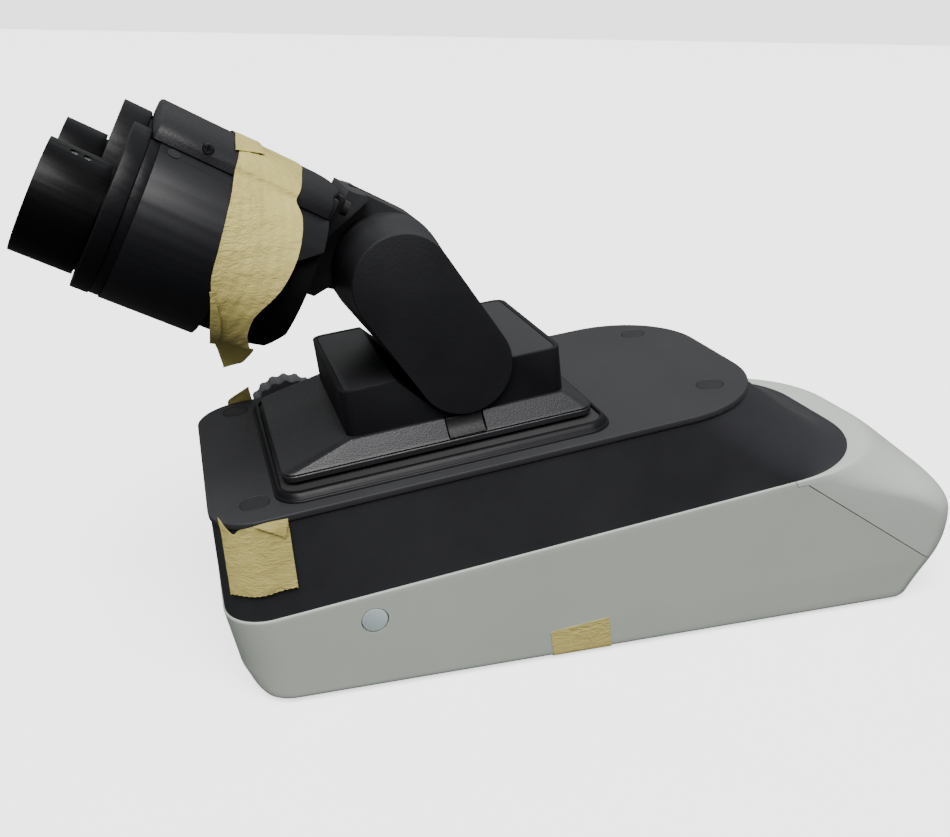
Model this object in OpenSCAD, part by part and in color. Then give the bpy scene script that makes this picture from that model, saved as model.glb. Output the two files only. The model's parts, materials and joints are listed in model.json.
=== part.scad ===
// Tabletop binocular refraction head on a wedge console.
// The row frame stands on the rubber feet: +Z up, -X towards the user, -Y is the near side.

/* [Console] */
// Inclination of the top plate to the underside, degrees
plate_tilt = 7.9; // [5:0.1:10]
// Length of the flat top plate
plate_l = 210; // [200:1:215]
// Width of the console
plate_w = 110; // [110:1:114]
// Thickness of the top plate
plate_t = 2.5; // [2:0.1:3]
// Depth of the seam between black cover and grey tub below the plate
seam_d = 38; // [36:1:40]
// Wall thickness of the mouldings
wall = 3; // [2.5:0.1:3.5]
// Plan radius of the front corners
front_r = 17; // [15:1:19]
// Plan radius of the rear corners
rear_r = 38; // [34:1:40]

/* [Arm] */
// Distance between the lower and the upper pivot
arm_len = 36.7; // [35:0.1:38]
// Lean of the arm towards the user from the plate's normal, degrees
arm_lean = 27.8; // [25:0.1:30]
// Radius of the arm's outer faces
arm_r = 17.2; // [17:0.1:17.4]
// Width of the arm over its covers
arm_w = 74; // [73:1:75]

/* [Head] */
// Pitch of the barrel axes to the plate, degrees
head_pitch = 34.7; // [33:0.1:36]
// Distance between the barrel axes
pupil_d = 62; // [61:0.5:63]
// Radius of a barrel
barrel_r = 26; // [25.5:0.1:26.2]
// Outer radius of a hood
hood_r = 17.5; // [17:0.1:18]
// Distance of the hood axis below the barrel axis
hood_drop = 5.25; // [5:0.05:5.5]
// Length of a hood in front of the near ring
hood_l = 18.8; // [18:0.1:20]

/* [Fits] */
// Radial clearance of running fits
run = 0.05; // [0.03:0.01:0.08]
// Gap between faces that move past each other
gap = 0.5; // [0.4:0.1:0.8]
// Smoothness of round parts
round_fn = 64; // [32:8:96]

/* [Hidden] */

$fn = round_fn;
eps = 0.01;
half_w = plate_w / 2;

// Place of the plate frame in the row frame: its origin is the front edge of the plate on the centre line
foot_h = 1.5;
origin_x = -127.01;
origin_y = -4.79;
origin_z = 69.8 + foot_h;

// Console outline below the plate, in the plate frame
seam_front_x = -3;
seam_rear_x = 257.4;
cap_rear_x = 296;
floor_front = [13, -72.2];
floor_rear = [265, -107.2];
cap_split_top = [216, -seam_d];
cap_split_low = [281, -91];

// Pivots, in the plate frame
shaft_r = 6;
bush_r = 8;
lower_x = 94.7;
lower_z = 29.8;
upper_x = lower_x - arm_len * sin(arm_lean);
upper_z = lower_z + arm_len * cos(arm_lean);

// Place of the upper pivot in the head frame: x runs back along the barrels, z is up
neck_x = 93;
neck_z = 20.5;
barrel_end = 62;
band_x = 5.3;
barrel_x = 8.4;
far_extra = 4.4;

// Rack and pinion of the lift
knob_x = 37.5;
knob_z = -12;
tooth_m = 1.25;
pinion_teeth = 12;
pinion_r = tooth_m * pinion_teeth / 2;
rack_x = knob_x + pinion_r;
lift_travel = 12;

// Level frame for the pieces on the floor: x is measured from the plate's front edge, y from the centre line
module stand() {
    translate([origin_x, origin_y, 0]) children();
}

module console() {
    translate([origin_x, origin_y, origin_z]) rotate([0, -plate_tilt, 0]) children();
}

module arm_place() {
    console() translate([lower_x, 0, lower_z]) rotate([0, -arm_lean, 0]) children();
}

module head_place() {
    console() translate([upper_x, 0, upper_z]) rotate([0, head_pitch, 0])
        translate([-neck_x, 0, -neck_z]) children();
}

// A cylinder along Y from y0 to y1 about x, z
module rod_y(x, z, r, y0, y1) {
    translate([x, y0, z]) rotate([-90, 0, 0]) cylinder(r = r, h = y1 - y0);
}

// A cylinder along X from x0 to x1 about y, z
module rod_x(y, z, r, x0, x1) {
    translate([x0, y, z]) rotate([0, 90, 0]) cylinder(r = r, h = x1 - x0);
}

// A side profile in X and Z, extruded from y0 to y1
module side_profile(points, y0, y1) {
    translate([0, y1, 0]) rotate([90, 0, 0]) linear_extrude(y1 - y0) polygon(points);
}

// A box between two corners
module box(low, high) {
    translate(low) cube(high - low);
}

function arc(c, r, a0, a1, n) = [for (i = [0 : n]) let (a = a0 + (a1 - a0) * i / n)
    [c[0] + r * cos(a), c[1] + r * sin(a)]];

// Plan outline from x0 to x1 with its own front and rear corner radii
module plan(x0, x1, w, fr, rr) {
    for (s = [-1, 1]) {
        translate([x0 + fr, s * (w / 2 - fr)]) circle(fr);
        translate([x1 - rr, s * (w / 2 - rr)]) circle(rr);
    }
    translate([x0 + fr, -w / 2]) square([x1 - x0 - fr - rr, w]);
    translate([x0, -w / 2 + fr]) square([x1 - x0 - rr, w - 2 * fr]);
    translate([x1 - rr - 1, -w / 2 + rr]) square([rr + 1, w - 2 * rr]);
}

module plan_slab(x0, x1, w, fr, rr, z0, z1) {
    translate([0, 0, z0]) linear_extrude(z1 - z0) plan(x0, x1, w, fr, rr);
}

module plan_box(x0, x1, w, r, z0, z1) {
    plan_slab(x0, x1, w, r, r, z0, z1);
}

/* ---- Console ---- */

function tub_points(t, top) = concat(
    [[seam_front_x + t, top]],
    arc([floor_front[0] - 1, floor_front[1] + 13.5], 13.5 - t, 180, 262, 16),
    [[floor_rear[0], floor_rear[1] + t], [floor_rear[0] + 5 - t, floor_rear[1] + 1 + t]],
    [[cap_split_low[0] - t, cap_split_low[1] + t / 2], [cap_split_top[0] - t, top]]);

// Feet and floor screws in the level frame
feet = [for (x = [42, 247]) for (y = [-38, 38]) [x, y]];
bottom_holes = [for (x = [104, 210]) for (y = [-34, 34]) [x, y]];
floor_z = foot_h + wall;
foot_r = 8;
button_at = [46.7, -48.6];
button_r = 4.6;
inlet = [214, -68];

module base_tub() color([0.62, 0.65, 0.61]) difference() {
    console() difference() {
        intersection() {
            side_profile(tub_points(0, -seam_d), -half_w, half_w);
            plan_slab(seam_front_x, cap_rear_x, plate_w, front_r, 45, -130, 0);
        }
        intersection() {
            side_profile(tub_points(wall, -seam_d + 5), -half_w, half_w);
            plan_slab(seam_front_x + wall, cap_rear_x - wall, plate_w - 2 * wall,
                front_r - wall, 42, -130, 0);
        }
        rod_y(button_at[0], button_at[1], button_r + 0.3, -half_w - 1, -half_w + wall + 1);
        translate([inlet[0] - 14.2, half_w - wall - 1, inlet[1] - 10.2]) cube([28.4, 6, 20.4]);
    }
    stand() {
        for (p = feet)
            translate([p[0], p[1], -1]) cylinder(r = foot_r, h = foot_h + 2);
        for (p = bottom_holes) {
            translate([p[0], p[1], -1]) cylinder(r = 2, h = 12);
            translate([p[0], p[1], -1]) cylinder(r = 4, h = foot_h + 1 + 1.5);
        }
    }
}

module rear_cap() color([0.70, 0.73, 0.69]) console() difference() {
    intersection() {
        side_profile(concat([cap_split_top], arc([272, -62], 24, 90, 0, 10),
            [[295, -76], [288, -87], cap_split_low]), -half_w, half_w);
        plan_slab(100, cap_rear_x, plate_w, 20, 48, -130, 0);
    }
    intersection() {
        side_profile(concat([[cap_split_top[0] + 8, -seam_d - wall - 1.5]],
            arc([270, -62], 20, 90, 0, 8), [[288, -76], [cap_split_low[0] + 1, -86.5]],
            [[cap_split_low[0] - 10, -95], [200, -40]]), -half_w, half_w);
        plan_slab(100, cap_rear_x - wall, plate_w - 2 * wall, 20, 45, -130, 0);
    }
    plan_slab(100, seam_rear_x - 6, plate_w - 12, 20, 34, -60, 0);
}

// Cover block between the plate and the seam, shrunk by t all round
module cover_block(t, z_top, z_low) {
    hull() {
        plan_slab(t, plate_l - t, plate_w - 2 * t, front_r - t, rear_r - t, z_top - 0.1, z_top, $fn = 40);
        plan_slab(seam_front_x + t, seam_rear_x - t, plate_w - 2 * t, front_r - t, 40 - t,
            z_low, z_low + 0.1, $fn = 40);
    }
}

cover_top = -plate_t;
knob_bush_r = 5.5;

module top_cover() color([0.18, 0.18, 0.2]) console() difference() {
    cover_block(0.6, cover_top, -seam_d);
    cover_block(0.6 + wall, cover_top - 1.6, -seam_d - 0.2);
    plan_box(20, 200, 90, 20, -6, 1);
    rod_y(knob_x, knob_z, knob_bush_r, half_w - wall - 4, half_w + 1);
    for (p = plug_at)
        translate([p[0], p[1], -20]) cylinder(r = boss_r + 0.2, h = 20);
}

boss_r = 6;
plug_at = [[15.7, -41.1], [15.7, 45.1], [190.8, -31.8], [190.8, 35.8]];
plug_r = 4.96;
opening = [41, 126, 76, 3];

module plate_opening(z0, z1) {
    plan_box(opening[0], opening[1], opening[2], opening[3], z0, z1);
}

module top_plate() color([0.27, 0.27, 0.28]) console() difference() {
    union() {
        plan_slab(0, plate_l, plate_w, front_r, rear_r, -plate_t, 0);
        for (p = plug_at)
            translate([p[0], p[1], -10]) cylinder(r = boss_r, h = 10 - plate_t + eps);
    }
    plate_opening(-plate_t - 1, 1);
    for (p = plug_at) {
        translate([p[0], p[1], -1.2]) cylinder(r = plug_r + 0.05, h = 2);
        translate([p[0], p[1], -11]) cylinder(r = 1.6, h = 12);
        translate([p[0], p[1], -4]) cylinder(r = 3.2, h = 4);
    }
}

module plate_plugs() color([0.2, 0.2, 0.21]) console()
    for (p = plug_at)
        translate([p[0], p[1], -1.2]) cylinder(r = plug_r, h = 1.15);

module plate_screws() color("silver") console()
    for (p = plug_at) difference() {
        union() {
            translate([p[0], p[1], -4]) cylinder(r = 2.9, h = 2.2);
            translate([p[0], p[1], -14]) cylinder(r = 1.55, h = 10.5);
        }
        translate([p[0], p[1], -2.8]) cylinder(r = 1.3, h = 2, $fn = 6);
    }

module rubber_feet() color([0.1, 0.1, 0.1]) stand()
    for (p = feet)
        translate([p[0], p[1], 0]) cylinder(r = foot_r - 0.05, h = foot_h + 1);

module bottom_screws() color("silver") stand()
    for (p = bottom_holes) difference() {
        union() {
            translate([p[0], p[1], foot_h + 0.2]) cylinder(r = 3.6, h = 1.3);
            translate([p[0], p[1], foot_h + 1]) cylinder(r = 1.9, h = 8);
        }
        translate([p[0], p[1], foot_h]) cylinder(r = 1.4, h = 1, $fn = 6);
    }

collar_x = [22.5, 144.5];
collar_w = 99;
collar_h = 2.9;
collar_lip = 0.8;
collar_in_x = [25.2, 141.8];
collar_in_w = 90.4;

module collar_hole(z0, z1) {
    plan_box(collar_in_x[0], collar_in_x[1], collar_in_w, 6.5, z0, z1);
}

module collar() color([0.12, 0.12, 0.13]) console() difference() {
    union() {
        plan_box(collar_x[0], collar_x[1], collar_w, 10, 0, collar_lip);
        plan_box(collar_x[0] + 0.9, collar_x[1] - 0.9, collar_w - 1.8, 9.1, 0, collar_h);
    }
    collar_hole(-1, 9);
}

module moat_gasket() color([0.05, 0.05, 0.05]) console() difference() {
    collar_hole(0, 1.6);
    plan_box(32, 136, 74, 5, -1, 3);
}

/* ---- Inside the console ---- */

rod_at = [[68, 0], [108, 0]];
rod_r = 5;
guide_low = -33;
stem = [58, 118, 44];

module lift_guide() color([0.6, 0.6, 0.62]) console() difference() {
    union() {
        plan_box(50, 126, 30, 6, guide_low, guide_low + 16);
        box([84, -44, guide_low], [96, 44, guide_low + 8]);
        for (s = [-1, 1]) {
            box([84, s * 41.5 - 2.5, guide_low], [96, s * 41.5 + 2.5, -plate_t]);
            box([70, s * 41.5 - 2.5, -plate_t - 8], [110, s * 41.5 + 2.5, -plate_t]);
        }
    }
    for (p = rod_at)
        translate([p[0], p[1], guide_low - 1]) cylinder(r = rod_r + run, h = 20);
}

ballast_z = floor_z + 0.15;
ballast_t = 7;

module ballast_plate() color([0.45, 0.45, 0.47]) stand() difference() {
    box([92, -44, ballast_z], [222, 44, ballast_z + ballast_t]);
    for (p = bottom_holes)
        translate([p[0], p[1], 0]) cylinder(r = 1.9, h = 30);
}

board_x = [106, 166];
board_w = 68;
board_z = 28;

module board_corners() {
    for (x = [board_x[0] + 4, board_x[1] - 4]) for (y = [-1, 1] * (board_w / 2 - 4))
        translate([x, y, 0]) children();
}

module control_board() color([0.1, 0.35, 0.2]) stand() difference() {
    union() {
        box([board_x[0], -board_w / 2, board_z], [board_x[1], board_w / 2, board_z + 1.6]);
        box([board_x[0] + 10, -20, board_z + 1.5], [board_x[0] + 28, -2, board_z + 4.2]);
        box([board_x[0] + 34, 4, board_z + 1.5], [board_x[0] + 48, 22, board_z + 6]);
        box([board_x[0] + 8, 12, board_z + 1.5], [board_x[0] + 16, 24, board_z + 9]);
    }
    board_corners() translate([0, 0, board_z - 1]) cylinder(r = 1.6, h = 4);
}

module board_standoffs() color("silver") stand() board_corners() difference() {
    translate([0, 0, ballast_z + ballast_t])
        cylinder(r = 3, h = board_z - ballast_z - ballast_t, $fn = 6);
    translate([0, 0, board_z - 6]) cylinder(r = 1.25, h = 7);
}

module power_module() color([0.75, 0.76, 0.78]) stand() difference() {
    box([228, -30, ballast_z], [264, 20, 25]);
    for (x = [234 : 6 : 258])
        box([x, -26, 22], [x + 2, 16, 26]);
}

module power_inlet() color([0.08, 0.08, 0.08]) console() difference() {
    union() {
        box([inlet[0] - 14, half_w - wall - 12, inlet[1] - 10], [inlet[0] + 14, half_w - 0.2, inlet[1] + 10]);
    }
    box([inlet[0] - 11, half_w - wall - 8, inlet[1] - 7], [inlet[0] + 11, half_w + 1, inlet[1] + 7]);
}

module knob_bush() color([0.7, 0.55, 0.3]) console() difference() {
    union() {
        rod_y(knob_x, knob_z, knob_bush_r - 0.02, half_w - wall - 8, half_w - 0.4);
        rod_y(knob_x, knob_z, 8, half_w - wall - 8, half_w - wall - 4);
    }
    rod_y(knob_x, knob_z, 3 + run, half_w - wall - 9, half_w + 1);
}

button_travel = 0.8;

module button_switch() color([0.15, 0.15, 0.16]) console() difference() {
    rod_y(button_at[0], button_at[1], 7, -half_w + 7.5, -half_w + 13);
    rod_y(button_at[0], button_at[1], 1.6, -half_w + 7, -half_w + 12);
}

module power_button() color([0.68, 0.73, 0.75]) console() {
    rod_y(button_at[0], button_at[1], button_r, -half_w, -half_w + 4);
    rod_y(button_at[0], button_at[1], button_r + 1.4, -half_w + wall + 0.4, -half_w + 4.6);
    rod_y(button_at[0], button_at[1], 1.5, -half_w + 4, -half_w + 7.9);
}

/* ---- Knob and lift ---- */

knob_r = 16.3;
knob_flutes = 19;
flute_r = 2.6;
flute_at = knob_r + 1.7;

module side_knob() color([0.1, 0.1, 0.11]) console() difference() {
    union() {
        rod_y(knob_x, knob_z, knob_r, half_w + 2, half_w + 12);
        rod_y(knob_x, knob_z, 9, half_w + 0.4, half_w + 2 + eps);
    }
    for (i = [0 : knob_flutes - 1])
        translate([knob_x, 0, knob_z]) rotate([0, i * 360 / knob_flutes, 0])
            rod_y(flute_at, 0, flute_r, half_w + 1, half_w + 13);
    rod_y(knob_x, knob_z, 3, half_w - 1, half_w + 10);
    rod_y(knob_x, knob_z, 11.5, half_w + 11, half_w + 13);
}

module knob_shaft() color("silver") console()
    rod_y(knob_x, knob_z, 3, 28, half_w + 10);

// A pinion tooth is a slim trapezoid, narrower than the rack's space over its whole height
module pinion() color([0.7, 0.6, 0.35]) console() translate([knob_x, 30, knob_z]) rotate([-90, 0, 0])
    difference() {
        linear_extrude(8) {
            circle(pinion_r - 1.45);
            for (i = [0 : pinion_teeth - 1])
                rotate(i * 360 / pinion_teeth)
                    polygon([[pinion_r - 2.2, -1.25], [pinion_r - 0.2, -0.8], [pinion_r + 1.0, -0.38],
                        [pinion_r + 1.0, 0.38], [pinion_r - 0.2, 0.8], [pinion_r - 2.2, 1.25]]);
        }
        translate([0, 0, -1]) cylinder(r = 3, h = 10);
    }

rack_pitch = PI * tooth_m;

module lift_rack() color([0.6, 0.6, 0.62]) console() union() {
    box([rack_x + 1.4, 31, -38], [rack_x + 6, 37, 4]);
    for (i = [-6 : 2]) {
        z = knob_z + (i + 0.5) * rack_pitch;
        side_profile([[rack_x + 1.5, z - 1.25], [rack_x, z - 0.75], [rack_x - 1.05, z - 0.4],
            [rack_x - 1.05, z + 0.4], [rack_x, z + 0.75], [rack_x + 1.5, z + 1.25]], 31, 37);
    }
}

skirt_x = [26.5, 140];
skirt_w = 79;
skirt_z = [2.9, 5.2];
slope_z = 5.6;
block_x = [51, 131.5];
block_w = 68;
block_z = [12.2, 28.7];
tab_x = [85.5, 98.9];
tab_back = 33.5;

// A profile in Y and Z, extruded from x0 to x1
module end_profile(points, x0, x1) {
    translate([x0, 0, 0]) rotate([90, 0, 90]) linear_extrude(x1 - x0) polygon(points);
}

// The lock tab lies in the near slope; t is the clearance beside it and out the room in front of it
module tab_wedge(t, out) {
    end_profile([[-skirt_w / 2 - 0.3 - out, 6.1 - t], [-35.9 - out, 12 + out],
        [-tab_back, 12 + out], [-tab_back, 6.1 - t]], tab_x[0] - t, tab_x[1] + t);
}

module pedestal() color([0.16, 0.16, 0.17]) console() difference() {
    union() {
        hull() {
            plan_box(skirt_x[0], skirt_x[1], skirt_w, 5, slope_z - 0.1, slope_z, $fn = 32);
            plan_box(block_x[0] - 1.5, block_x[1] + 0.3, block_w + 3, 5, block_z[0] - 0.1, block_z[0],
                $fn = 32);
        }
        plan_box(skirt_x[0] + 0.6, skirt_x[1] - 0.6, skirt_w - 1.2, 4.4, skirt_z[1] - 0.1, slope_z);
        plan_box(skirt_x[0], skirt_x[1], skirt_w, 5, skirt_z[0], skirt_z[1]);
        plan_box(stem[0], stem[1], stem[2], 5, -12, skirt_z[1]);
    }
    plan_box(stem[0] + wall + 8, stem[1] - wall - 8, stem[2] - 2 * wall, 2, -13, 2);
    for (p = rod_at)
        translate([p[0], p[1], -13]) cylinder(r = rod_r, h = 19);
    box([rack_x + 1.4, 31, 0], [rack_x + 6, 37, 4]);
    tab_wedge(0.3, 5);
}

module lift_rods() color("silver") console()
    for (p = rod_at)
        translate([p[0], p[1], guide_low - 6]) cylinder(r = rod_r, h = 6 - guide_low + 6);

// Swing of the arm that the block is cut out for: back towards upright, and forward over the front edge
arm_back = 25;
arm_fore = 15;
slot_r = arm_r + 2 * gap;

function lean_dir(a) = [-sin(a), cos(a)];
function slot_points() = let (u = lean_dir(arm_lean + arm_fore), v = lean_dir(arm_lean - arm_back),
    c = [lower_x, lower_z], s = slot_r)
    [c + s * [-u[1], u[0]], c + s * [-u[1], u[0]] + 60 * u, c + s * [v[1], -v[0]] + 60 * v,
     c + s * [v[1], -v[0]]];

module arm_slot(y0, y1) {
    rod_y(lower_x, lower_z, slot_r, y0, y1);
    side_profile(slot_points(), y0, y1);
}

lug_w = 20;
lug_r = 14;

// The block is cut through for the arm, apart from a lug on the middle line that holds the lower shaft
module pivot_block() color([0.14, 0.14, 0.15]) console() difference() {
    union() {
        difference() {
            plan_box(block_x[0], block_x[1], block_w, 4.5, block_z[0], block_z[1]);
            arm_slot(-half_w, half_w);
            plan_box(block_x[0] + 1.6, block_x[1] - 1.6, block_w - 3.2, 3, block_z[1] - 0.8,
                block_z[1] + 1);
        }
        rod_y(lower_x, lower_z, lug_r, -lug_w / 2, lug_w / 2);
        box([lower_x - 20, -lug_w / 2, block_z[0]], [lower_x + 20, lug_w / 2, block_z[0] + 6]);
        box([lower_x - lug_r, -lug_w / 2, block_z[0]], [lower_x + lug_r, lug_w / 2, lower_z]);
    }
    rod_y(lower_x, lower_z, shaft_r, -half_w, half_w);
}

module block_caps() color([0.22, 0.22, 0.23]) console() difference() {
    plan_box(block_x[0] + 1.8, block_x[1] - 1.8, block_w - 3.6, 2.8, block_z[1] - 0.8, block_z[1] - 0.05);
    arm_slot(-half_w, half_w);
}

module lock_tab() color([0.1, 0.1, 0.11]) console()
    tab_wedge(0, 0);

/* ---- Arm ---- */

upper_r = 19.5;
cheek_in = 10.5;
cheek_out = arm_w / 2 - 2.5;
cover_in = cheek_out;

// Stadium outline with a lower radius r1 and an upper radius r2, z along the arm
function tangents(r1, r2) = let (s = (r2 - r1) / arm_len, c = sqrt(1 - s * s))
    [[r1 * c, -r1 * s], [r2 * c, arm_len - r2 * s], [-r2 * c, arm_len - r2 * s], [-r1 * c, -r1 * s]];

module arm_plate(r1, r2, y0, y1) {
    rod_y(0, 0, r1, y0, y1);
    rod_y(0, arm_len, r2, y0, y1);
    side_profile(tangents(r1, r2), y0, y1);
}

module arm_frame() color([0.15, 0.15, 0.16]) arm_place() difference() {
    union() {
        for (s = [-1, 1]) {
            low = s < 0 ? -cheek_out + 8 : cheek_in;
            high = s < 0 ? -cheek_in : cheek_out - 8;
            arm_plate(arm_r, upper_r, low, high);
            arm_plate(arm_r, arm_r + 0.6, s < 0 ? -cheek_out : high - eps, s < 0 ? low + eps : cheek_out);
        }
        box([-9, -cheek_in - 1, 14.4], [15, cheek_in + 1, 16.6]);
    }
    for (z = [0, arm_len])
        rod_y(0, z, bush_r, -half_w, half_w);
}

module arm_covers() color([0.11, 0.11, 0.125]) arm_place()
    for (y = [-arm_w / 2, cover_in])
        arm_plate(arm_r, arm_r, y, y + 2.5);

module arm_bushes() color([0.75, 0.6, 0.35]) arm_place()
    for (z = [0, arm_len]) for (s = [-1, 1]) difference() {
        union() {
            rod_y(0, z, bush_r, s < 0 ? -cheek_out + 2 : cheek_in, s < 0 ? -cheek_in : cheek_out - 2);
        }
        rod_y(0, z, shaft_r + run, -half_w, half_w);
    }

module lower_shaft() color("silver") arm_place()
    rod_y(0, 0, shaft_r, -cheek_out + 0.5, cheek_out - 0.5);

module upper_shaft() color("silver") arm_place()
    rod_y(0, arm_len, shaft_r, -cheek_out + 0.5, cheek_out - 0.5);

/* ---- Head ---- */

near_y = -pupil_d / 2;
far_y = pupil_d / 2;
ring_z = hood_drop;
saddle_x = [6, 61.5];
saddle_w = 78;
saddle_z = [30, 36.5];
saddle_round = 3;
neck_top = 40;
neck_half = 31;
barrel_top = saddle_z[0] - 0.4;
rail_at = [[18, 32], [50, 32]];
rail_r = 1.5;
carriage_top = 34;
neck_back = saddle_x[1] + gap;

// The neck: a wide tapering plate behind the saddle, and a lug on the upper shaft
module neck() color([0.13, 0.13, 0.14]) head_place() difference() {
    union() {
        rod_y(neck_x, neck_z, upper_r + 0.2, -lug_w / 2, lug_w / 2);
        side_profile([[neck_back, 2], [66, 0.5], [74, 1], [77, 5.5], [82, 6.5], [neck_x, neck_z - 6],
            [neck_x, neck_z + upper_r + 0.2], [saddle_x[1], neck_top], [saddle_x[1], saddle_z[0] + 0.4],
            [neck_back, saddle_z[0]]], -lug_w / 2, lug_w / 2);
        difference() {
            intersection() {
                side_profile([[neck_back, 16], [66, 16], [69.5, 24], [76, neck_top - 1], [75, neck_top],
                    [saddle_x[1], neck_top], [saddle_x[1], saddle_z[0] + 0.4],
                    [neck_back, saddle_z[0]]], -neck_half - 1, neck_half + 1);
                linear_extrude(50) polygon([[61, -neck_half], [66, -neck_half], [77, -26.5], [77, 26.5],
                    [66, neck_half], [61, neck_half]]);
            }
            rod_y(neck_x, neck_z, upper_r + 1, -half_w, half_w);
        }
    }
    rod_y(neck_x, neck_z, shaft_r, -half_w, half_w);
    for (s = [-1, 1])
        rod_x(s * 22, 34, 2.6, 67, 80);
    box([72, 2, neck_top - 2], [87, 8, neck_top + 2]);
}

module neck_screws() color("silver") head_place()
    for (s = [-1, 1]) difference() {
        rod_x(s * 22, 34, 2.5, 67, 69);
        rod_x(s * 22, 34, 1.2, 68, 70);
    }

screw_at = [20.9, 33.7];
screw_r = 1.9;

// The saddle screws lie across the side walls; t widens their holes and out opens them outwards
module saddle_screw(s, t, out) {
    rod_y(screw_at[0], screw_at[1], screw_r + t, s < 0 ? -saddle_w / 2 + 0.5 - out : saddle_w / 2 - 2,
        s < 0 ? -saddle_w / 2 + 2 : saddle_w / 2 - 0.5 + out);
}

module saddle() color([0.13, 0.13, 0.14]) head_place() difference() {
    union() {
        plan_box(saddle_x[0], saddle_x[1], saddle_w - 2 * saddle_round, 2, saddle_z[0], saddle_z[1]);
        plan_box(saddle_x[0], saddle_x[1], saddle_w, 2, saddle_z[0], saddle_z[1] - saddle_round);
        for (s = [-1, 1])
            rod_x(s * (saddle_w / 2 - saddle_round), saddle_z[1] - saddle_round, saddle_round,
                saddle_x[0] + 1, saddle_x[1] - 1);
    }
    box([saddle_x[0] + 3, -saddle_w / 2 + 2.7, saddle_z[0] - 1],
        [saddle_x[1] - 3, saddle_w / 2 - 2.7, carriage_top + 0.4]);
    for (p = rail_at)
        rod_y(p[0], p[1], rail_r, -saddle_w / 2 + 1, saddle_w / 2 - 1);
    for (s = [-1, 1])
        saddle_screw(s, 0.1, 1);
}

module saddle_screws() color([0.2, 0.2, 0.2]) head_place()
    for (s = [-1, 1]) difference() {
        saddle_screw(s, 0, 0);
        rod_y(screw_at[0], screw_at[1], 0.9, s * saddle_w / 2 - 1, s * saddle_w / 2 + 1, $fn = 4);
    }

module pupil_rails() color("silver") head_place()
    for (p = rail_at)
        rod_y(p[0], p[1], rail_r, -saddle_w / 2 + 1, saddle_w / 2 - 1);

// Everything below is made once for the near side (s = -1) and once for the far side (s = 1)
plug_angle = 64.5;
hole_angle = 73.6;
carriage_y = [14, 30.5];
scoop = [[37, -30], [37, -6], [54.6, 16.7], [62, 22.3], [70, 22.3], [70, -30]];
rear_outline = [[36.5, -21], [44, -19.8], [58, -13.5], [61.2, -6], [61.2, 28], [36.5, 28]];
sleeve_r = 16;

module eye_side(s) {
    head_place() translate([0, s * pupil_d / 2, 0]) children();
}

module below_saddle() {
    difference() {
        children();
        box([5.6, -40, barrel_top], [80, 40, 60]);
    }
}

module barrel(s) eye_side(s) difference() {
    union() {
        below_saddle() difference() {
            rod_x(0, ring_z, barrel_r, barrel_x, 61.2);
            rod_x(0, ring_z, barrel_r - wall, barrel_x - 1, 70);
            side_profile(scoop, -40, 40);
        }
        difference() {
            box([12, min(-s * 0.5, -s * 17), barrel_top - 4], [56, max(-s * 0.5, -s * 17), carriage_top]);
            rod_x(0, ring_z, barrel_r - wall, 0, 70);
        }
    }
    for (p = rail_at)
        rod_y(p[0], p[1], rail_r + run, -40, 40);
    translate([12.5, 0, ring_z]) rotate([-s * (90 - plug_angle), 0, 0])
        translate([0, 0, barrel_r - 2]) cylinder(r = 2, h = 4);
}

module barrel_plug(s) eye_side(s)
    translate([12.5, 0, ring_z]) rotate([-s * (90 - plug_angle), 0, 0])
        translate([0, 0, barrel_r - 2]) cylinder(r = 1.95, h = 2.1);

module ring(s) eye_side(s) difference() {
    rod_x(0, ring_z, barrel_r, s > 0 ? -far_extra : 0, band_x);
    rod_x(0, 0, sleeve_r, -10, 10);
}

module band(s) eye_side(s) below_saddle() difference() {
    rod_x(0, ring_z, barrel_r - 0.4, band_x, barrel_x);
    rod_x(0, 0, sleeve_r, 0, 10);
}

module rear_body(s) eye_side(s) below_saddle() difference() {
    intersection() {
        rod_x(0, ring_z, barrel_r - wall - 0.05, 36.5, 62);
        side_profile(rear_outline, -30, 30);
    }
    intersection() {
        rod_x(0, ring_z, barrel_r - wall - 3, 30, 58.5);
        side_profile([[30, -17], [43, -16.6], [56, -11], [58, -6], [58, 26], [30, 26]], -30, 30);
    }
}

module optics(s) eye_side(s) difference() {
    union() {
        rod_x(0, 0, sleeve_r, s > 0 ? -12 : -9, barrel_x + 4);
        rod_x(0, ring_z, barrel_r - wall - 0.1, barrel_x, barrel_x + 4);
        rod_x(0, 2, 17, barrel_x + 4 - eps, 34);
    }
    rod_x(0, 0, 13.5, -20, 30);
    rod_x(0, 0, 6, 20, 40);
}

module hood(s) eye_side(s) difference() {
    rod_x(0, 0, hood_r, -hood_l, s > 0 ? -far_extra - 0.6 : -0.6);
    rod_x(0, 0, sleeve_r + run, -hood_l + 4, 1);
    rod_x(0, 0, 14.5, -hood_l - 1, 1);
    for (x = [-11.5, -7.8])
        translate([x, 0, 0]) rotate([s * (hole_angle - 90), 0, 0])
            translate([0, 0, hood_r - 1.2]) cylinder(r = 1.3, h = 3);
}

module hood_screws(s) eye_side(s)
    for (x = [-11.5, -7.8])
        translate([x, 0, 0]) rotate([s * (hole_angle - 90), 0, 0]) difference() {
            translate([0, 0, hood_r - 1.2]) cylinder(r = 1.28, h = 0.7);
            translate([0, 0, hood_r - 0.9]) cylinder(r = 0.6, h = 1, $fn = 6);
        }

// A biconvex lens clamped behind the hood's lip, turned about X
lens_r = 14.48;
lens_edge = 1;
lens_bulge = 1.8;
lens_arc = (lens_r * lens_r + lens_bulge * lens_bulge) / (2 * lens_bulge);
lens_half = asin(lens_r / lens_arc);

module lens(s) eye_side(s) translate([-hood_l + 1, 0, 0]) rotate([0, 90, 0]) rotate_extrude()
    polygon(concat([[0, 0], [lens_r, 0]],
        arc([0, lens_edge + lens_bulge - lens_arc], lens_arc, 90 - lens_half, 90, 8)));

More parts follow.
